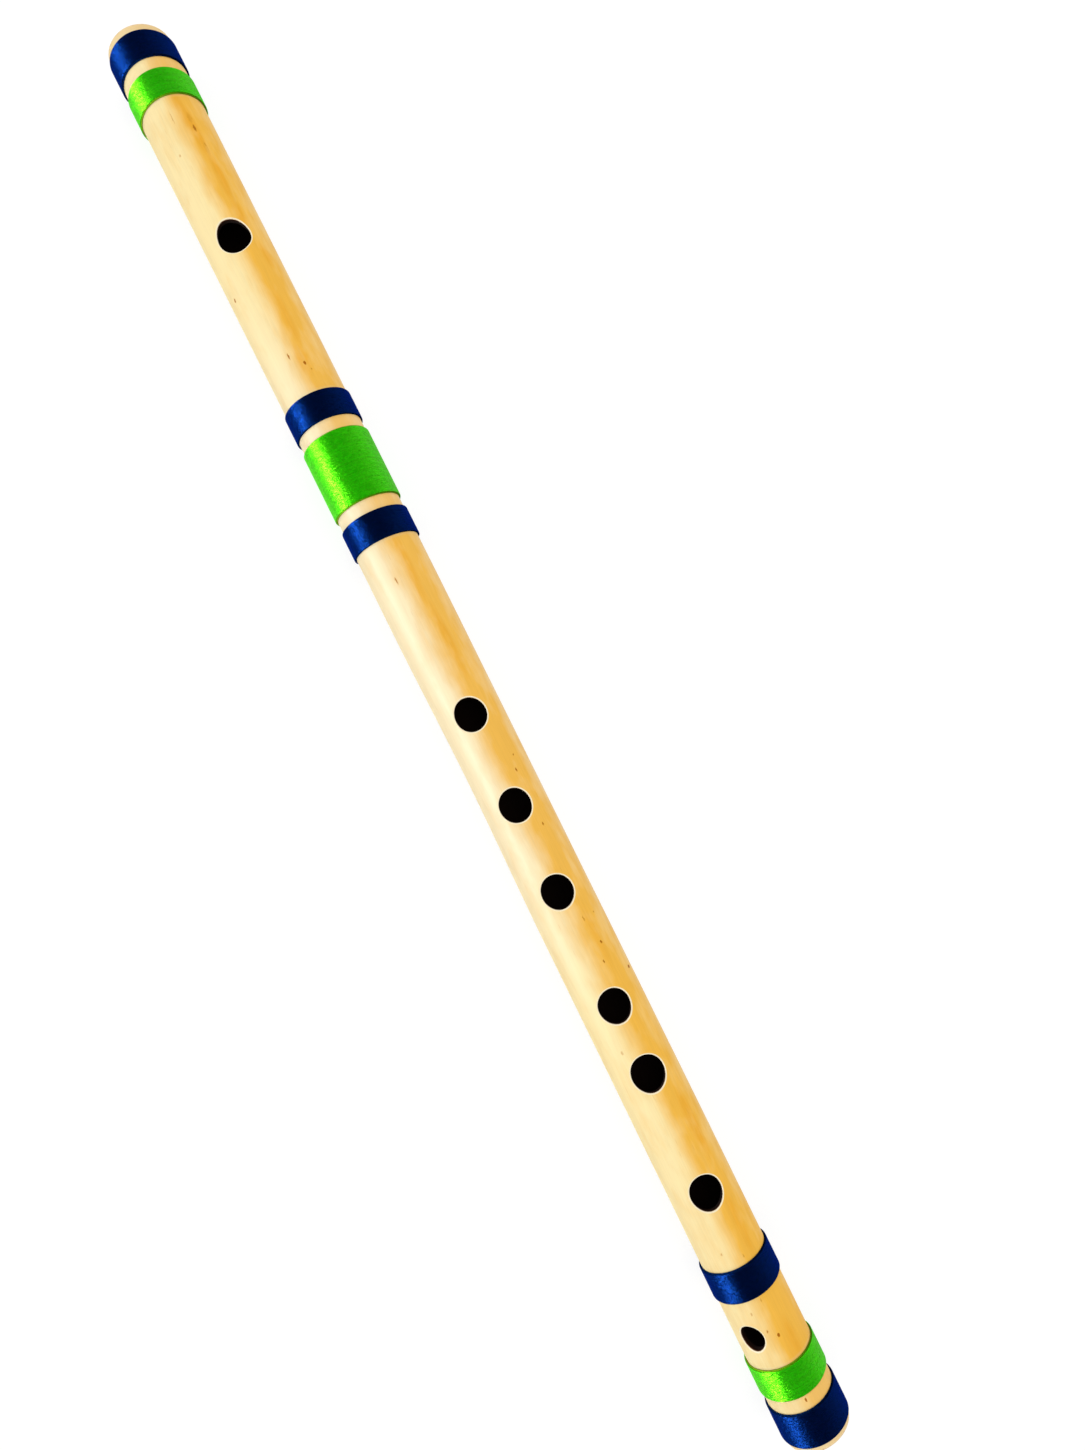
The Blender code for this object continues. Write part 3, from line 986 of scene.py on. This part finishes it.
def make_thread_layer():
    """One layer of close turns of thread round the culm, from one edge to the other."""
    inputs = {
        "Start": 0.0,
        "Width": 0.01,
        "Layer": UPPER_LAYER,
        "Pitch": TURN_PITCH,
        "Thread Width": THREAD_WIDTH,
        "Thread Height": UPPER_THREAD_HEIGHT,
        "Points a Turn": 96,
        "Sides": 8,
        "Looseness": LOOSENESS,
        "Inset": 0.0,
        "Tail Lift": 0.0,
        "Seed": 0.0,
    }
    tree, value, result = new_tree("thread layer", "GeometryNodeTree", inputs, GEOMETRY)
    radius = calc(tree, "ADD", value["Layer"], CULM_RADIUS)
    taken = calc(tree, "MULTIPLY_ADD", value["Inset"], 2.0, value["Thread Width"])
    room = minus(tree, value["Width"], taken)
    turns = calc(tree, "FLOOR", calc(tree, "DIVIDE", room, value["Pitch"]))
    run = times(tree, turns, value["Pitch"])
    inputs = (value["Points a Turn"], turns, radius, radius, run)
    spiral = out(tree, "GeometryNodeCurveSpiral", inputs)
    place = split_xyz(tree, out(tree, "GeometryNodeInputPosition"))
    way_x = calc(tree, "DIVIDE", place[0], radius)
    way_y = calc(tree, "DIVIDE", place[1], radius)
    by_turn = calc(tree, "DIVIDE", place[2], value["Pitch"])
    way = join_xyz(tree, by_turn, way_x, way_y)
    shifts = split_xyz(tree, noise(tree, way, value["Seed"], 1.4, 1.0)["Color"])
    reach = times(tree, value["Looseness"], 4.0)
    sideways = times(tree, minus(tree, shifts[0], 0.5), reach)
    outwards = times(tree, minus(tree, shifts[1], 0.5), reach)
    moved_x = calc(tree, "MULTIPLY_ADD", way_x, outwards, place[0])
    moved_y = calc(tree, "MULTIPLY_ADD", way_y, outwards, place[1])
    moved = join_xyz(tree, moved_x, moved_y, calc(tree, "ADD", place[2], sideways))
    inputs = {"Geometry": spiral, "Position": moved}
    path = out(tree, "GeometryNodeSetPosition", inputs)
    path = out(tree, "GeometryNodeSetCurveNormal", {"Curve": path}, mode="Z_UP")
    spline = add(tree, "GeometryNodeSplineParameter").outputs
    path = store(tree, path, "run", spline["Length"])

    circle_inputs = {"Resolution": value["Sides"], "Radius": 0.5}
    circle = out(tree, "GeometryNodeCurvePrimitiveCircle", circle_inputs)
    circle = store(tree, circle, "round", spline["Factor"])
    size = join_xyz(tree, value["Thread Height"], value["Thread Width"], 1.0)
    section = out(tree, "GeometryNodeTransform", {"Geometry": circle, "Scale": size})
    inputs = {"Curve": path, "Profile Curve": section, "Fill Caps": True}
    wound = out(tree, "GeometryNodeCurveToMesh", inputs)

    turn = calc(tree, "ADD", calc(tree, "ARCTAN2", place[1], place[0]), math.pi)
    reach = length_of(tree, join_xyz(tree, place[0], place[1], 0.0))
    wound = store(tree, wound, "rise", minus(tree, reach, CULM_RADIUS))
    spare = times(tree, minus(tree, value["Width"], run), 0.5)
    along = calc(tree, "ADD", calc(tree, "ADD", place[2], spare), value["Start"])
    half = times(tree, value["Width"], 0.5)
    off = minus(tree, minus(tree, along, value["Start"]), half)
    from_end = minus(tree, half, calc(tree, "ABSOLUTE", off))
    wound = store(tree, wound, "from_end", from_end)
    tail_turn = calc(tree, "MULTIPLY_ADD", by_turn, TAIL_DRIFT, TAIL_TURN)
    off_tail = calc(tree, "ABSOLUTE", minus(tree, turn, tail_turn))
    lift = times(tree, rise(tree, off_tail, TAIL_REACH, 0.0), value["Tail Lift"])
    laid = place_round_culm(tree, wound, along, turn, calc(tree, "ADD", reach, lift))
    feed(tree, result, {"Geometry": laid})
    return tree


def store(tree, geometry, name, value):
    """Keep a value on every point of a piece under a name, for its material."""
    inputs = {"Geometry": geometry, "Name": name, "Value": value}
    kind = "GeometryNodeStoreNamedAttribute"
    return out(tree, kind, inputs, data_type="FLOAT", domain="POINT")


def make_winding():
    """A binding: a lower and an upper layer of one thread."""
    inputs = {
        **GEOMETRY,
        "Start": 0.0,
        "Width": 0.01,
        "Pitch": TURN_PITCH,
        "Tail Lift": TAIL_LIFT,
        "Seed": 0.0,
        "Material": "Material",
    }
    tree, value, result = new_tree("thread winding", "GeometryNodeTree", inputs, GEOMETRY)
    lower = {
        "Layer": LOWER_LAYER,
        "Thread Height": LOWER_THREAD_HEIGHT,
        "Points a Turn": 64,
        "Sides": 5,
    }
    upper = {
        "Layer": UPPER_LAYER,
        "Inset": times(tree, value["Pitch"], UPPER_INSET),
        "Tail Lift": value["Tail Lift"],
    }
    both = add(tree, "GeometryNodeJoinGeometry")
    for layer in (lower, upper):
        layer.update({name: value[name] for name in ("Start", "Width", "Pitch", "Seed")})
        wound = out(tree, "GeometryNodeGroup", layer, node_tree=thread_layer)
        feed(tree, both, (wound,))
    return finish_tree(tree, value, result, both.outputs[0])


def make_thread_material(name, colours):
    """Silky thread: a tone drifting along it, fine plies, coloured gloss, painted shade at its
    edges.
    """
    material, tree, surface, vector = new_material(name)
    run = kept_value(tree, "run")
    tone_inputs = {"W": run, "Scale": 12.0, "Detail": 2.0}
    tone = out(tree, "ShaderNodeTexNoise", tone_inputs, noise_dimensions="1D")
    sparkle = lay_streaks(tree, vector, *SPARKLE)
    tone = calc(tree, "MULTIPLY_ADD", rise(tree, sparkle, 0.3, 0.7, -0.5, 0.5), 0.35, tone)
    colour = mix_colours(tree, rise(tree, tone, 0.25, 0.75), colours["deep"], colours["bright"])
    lines = rise(tree, lay_streaks(tree, vector, *PALER_LINES), 0.55, 0.72, 0.0, 0.6)
    colour = mix_colours(tree, lines, colour, colours["streak"])
    flecks = times(tree, lay_specks(tree, vector, *DARK_FLECKS), 0.8)
    colour = mix_colours(tree, flecks, colour, THREAD_SHADOW)
    width = colours["shade_edge_width"]
    # Painted shade: the lowest thread, the grooves between turns and the last turns at each end are
    # darkened.
    shaded_low_thread = rise(tree, kept_value(tree, "rise"), *LOW_THREAD_SHADE)
    shaded_last_turns = rise(tree, kept_value(tree, "from_end"), width, width * 0.6)
    edge = calc(tree, "MAXIMUM", shaded_low_thread, shaded_last_turns)
    colour = mix_colours(tree, edge, colour, colours["edge"])
    rough = calc(tree, "MULTIPLY_ADD", sparkle, 0.08, 0.10)
    facing = add(tree, "ShaderNodeLayerWeight", {"Blend": 0.5}).outputs["Facing"]
    fuzz = times(tree, calc(tree, "POWER", facing, 2.0), 0.5)
    rough = calc(tree, "MULTIPLY_ADD", edge, 0.8, calc(tree, "ADD", rough, fuzz))

    plies = calc(tree, "DIVIDE", run, PLY_LENGTH)
    plies = calc(tree, "MULTIPLY_ADD", kept_value(tree, "round"), 2.0, plies)
    plies = calc(tree, "SINE", times(tree, plies, math.tau))
    tilt = lay_streaks(tree, vector, *TILT)
    tilt = calc(tree, "MULTIPLY_ADD", tilt, 0.5, lay_streaks(tree, vector, *FINE_TILT))
    tilted = bump(tree, 1.0, TILT_RELIEF, tilt)
    relief = calc(tree, "MULTIPLY_ADD", plies, 0.3, times(tree, sparkle, 1.1))
    finish = {
        "Base Color": colour,
        "Roughness": rough,
        "Metallic": colours["metallic"],
        "IOR": colours["ior"],
        "Specular IOR Level": 1.0,
        "Specular Tint": colours["gloss"],
        "Normal": bump(tree, 0.4, PLY_RELIEF, relief, tilted),
    }
    feed(tree, surface, finish)
    return material


thread_layer = make_thread_layer()
winding_tree = make_winding()
thread_materials = {
    "blue_thread": make_thread_material("blue_thread", BLUE),
    "green_thread": make_thread_material("green_thread", GREEN),
}
slots = {part["node"]: part["material_slot"] for part in frame["record"]["subparts"]}
bindings = sorted(node for node in frame["nodes"] if node.endswith("_binding"))
for seed, node in enumerate(bindings):
    binding_low, binding_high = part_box(node)
    winding = new_piece(node.replace("binding", "winding"), bpy.data.meshes.new(node))
    values = {
        "Start": binding_low.x,
        "Width": binding_high.x - binding_low.x,
        "Seed": float(seed),
        "Material": thread_materials[slots[node]],
    }
    apply_tree(winding, winding_tree, values)
    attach(winding, "flute")
    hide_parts(node)

# The studio: a white floor that keeps the flute's soft shadow, a white surround, softboxes low on
# the blowing side that make the long gloss, a weak one opposite, and the camera above the middle.

FLOOR_SIZE = 6.0
FLOOR_GLOW = 0.86
FLOOR_PAINT = (0.18, 0.18, 0.18, 1.0)
FLOOR_BOUNCE = (0.75, 0.75, 0.75, 1.0)
SURROUND_LIGHT = 0.72
CEILING_GLOSS = 0.09
CAMERA_PLACE = (0.02957, -0.00839, 0.29433)
CAMERA_TURN = (5.064, -3.733, 63.520)
CAMERA_LENS = 22.497
SENSOR = 36.0

# Lamps: angle from the vertical towards -Y in degrees, distance, length, height, X, watts, and
# whether the matt light or the gloss shows them
SOFTBOXES = {
    "key_softbox": (68.0, 0.62, 1.60, 0.16, 0.0, 1.5, "matt"),
    "wide_gloss": (68.0, 0.62, 0.90, 0.50, -0.05, 8.0, "gloss"),
    "core_gloss": (70.0, 0.60, 0.56, 0.19, -0.06, 10.5, "gloss"),
    "fill_softbox": (-20.0, 1.00, 1.20, 0.60, 0.0, 3.0, "matt"),
}


def ray_kinds(tree):
    """1 for rays from the camera or through a clear surface, and 1 for rays off a glossy one."""
    path = add(tree, "ShaderNodeLightPath").outputs
    direct = calc(tree, "MAXIMUM", path["Is Camera Ray"], path["Is Transmission Ray"])
    return direct, path["Is Glossy Ray"]


def build_floor():
    """A large floor under the flute, white where it is lit."""
    bpy.ops.mesh.primitive_plane_add(size=FLOOR_SIZE)
    floor = bpy.context.object
    floor.name = "studio_floor"
    material = new_material("studio floor")[0]
    tree = material.node_tree
    tree.nodes.clear()
    paint = out(tree, "ShaderNodeBsdfDiffuse", {"Color": FLOOR_PAINT})
    glow = out(tree, "ShaderNodeEmission", {"Strength": FLOOR_GLOW})
    shown = out(tree, "ShaderNodeAddShader", (paint, glow))
    bounce = out(tree, "ShaderNodeBsdfDiffuse", {"Color": FLOOR_BOUNCE})
    seen = calc(tree, "MAXIMUM", *ray_kinds(tree))
    mixed = out(tree, "ShaderNodeMixShader", (seen, bounce, shown))
    add(tree, "ShaderNodeOutputMaterial", {"Surface": mixed})
    floor.data.materials.append(material)


def light_surround():
    """Even light from all round. It shows as plain white, with a dimmer ceiling in the gloss."""
    world = bpy.data.worlds.new("surround")
    bpy.context.scene.world = world
    world.use_nodes = True
    tree = world.node_tree
    direct, glossy = ray_kinds(tree)
    upwards = split_xyz(tree, add(tree, "ShaderNodeTexCoord").outputs["Generated"])[2]
    inputs = {"Value": upwards, "To Min": 1.0, "To Max": CEILING_GLOSS}
    ceiling = add(tree, "ShaderNodeMapRange", inputs).outputs["Result"]
    gloss = times(tree, glossy, ceiling)
    hidden = minus(tree, 1.0, calc(tree, "MAXIMUM", direct, glossy))
    strength = calc(tree, "MULTIPLY_ADD", hidden, SURROUND_LIGHT, calc(tree, "ADD", direct, gloss))
    white = {"Strength": strength, "Color": (1.0, 1.0, 1.0, 1.0)}
    feed(tree, tree.nodes["Background"], white)


def hang_softbox(name, lean_back, distance, length, height, x, power, shown_in):
    """A long lamp beside the flute that shows only in its matt light or only in its gloss."""
    lamp = bpy.data.lights.new(name, "AREA")
    lamp.shape = "RECTANGLE"
    lamp.size = length
    lamp.size_y = height
    lamp.energy = power
    softbox = new_piece(name, lamp)
    angle = math.radians(lean_back)
    way = Vector((0.0, -math.sin(angle), math.cos(angle)))
    softbox.location = way * distance + Vector((x, 0.0, CULM_AXIS))
    softbox.rotation_euler = (-way).to_track_quat("-Z", "Y").to_euler()
    softbox.visible_camera = False
    softbox.visible_diffuse = shown_in == "matt"
    softbox.visible_glossy = shown_in == "gloss"


def set_camera():
    """The camera at the photographed angle."""
    lens = bpy.data.cameras.new("camera")
    lens.lens = CAMERA_LENS
    lens.sensor_width = SENSOR
    lens.clip_start = 0.01
    camera = new_piece("camera", lens)
    camera.location = CAMERA_PLACE
    camera.rotation_euler = Euler([math.radians(angle) for angle in CAMERA_TURN])
    bpy.context.scene.camera = camera


build_floor()
light_surround()
for name, numbers in SOFTBOXES.items():
    hang_softbox(name, *numbers)
set_camera()
bpy.context.scene.view_settings.view_transform = "Standard"
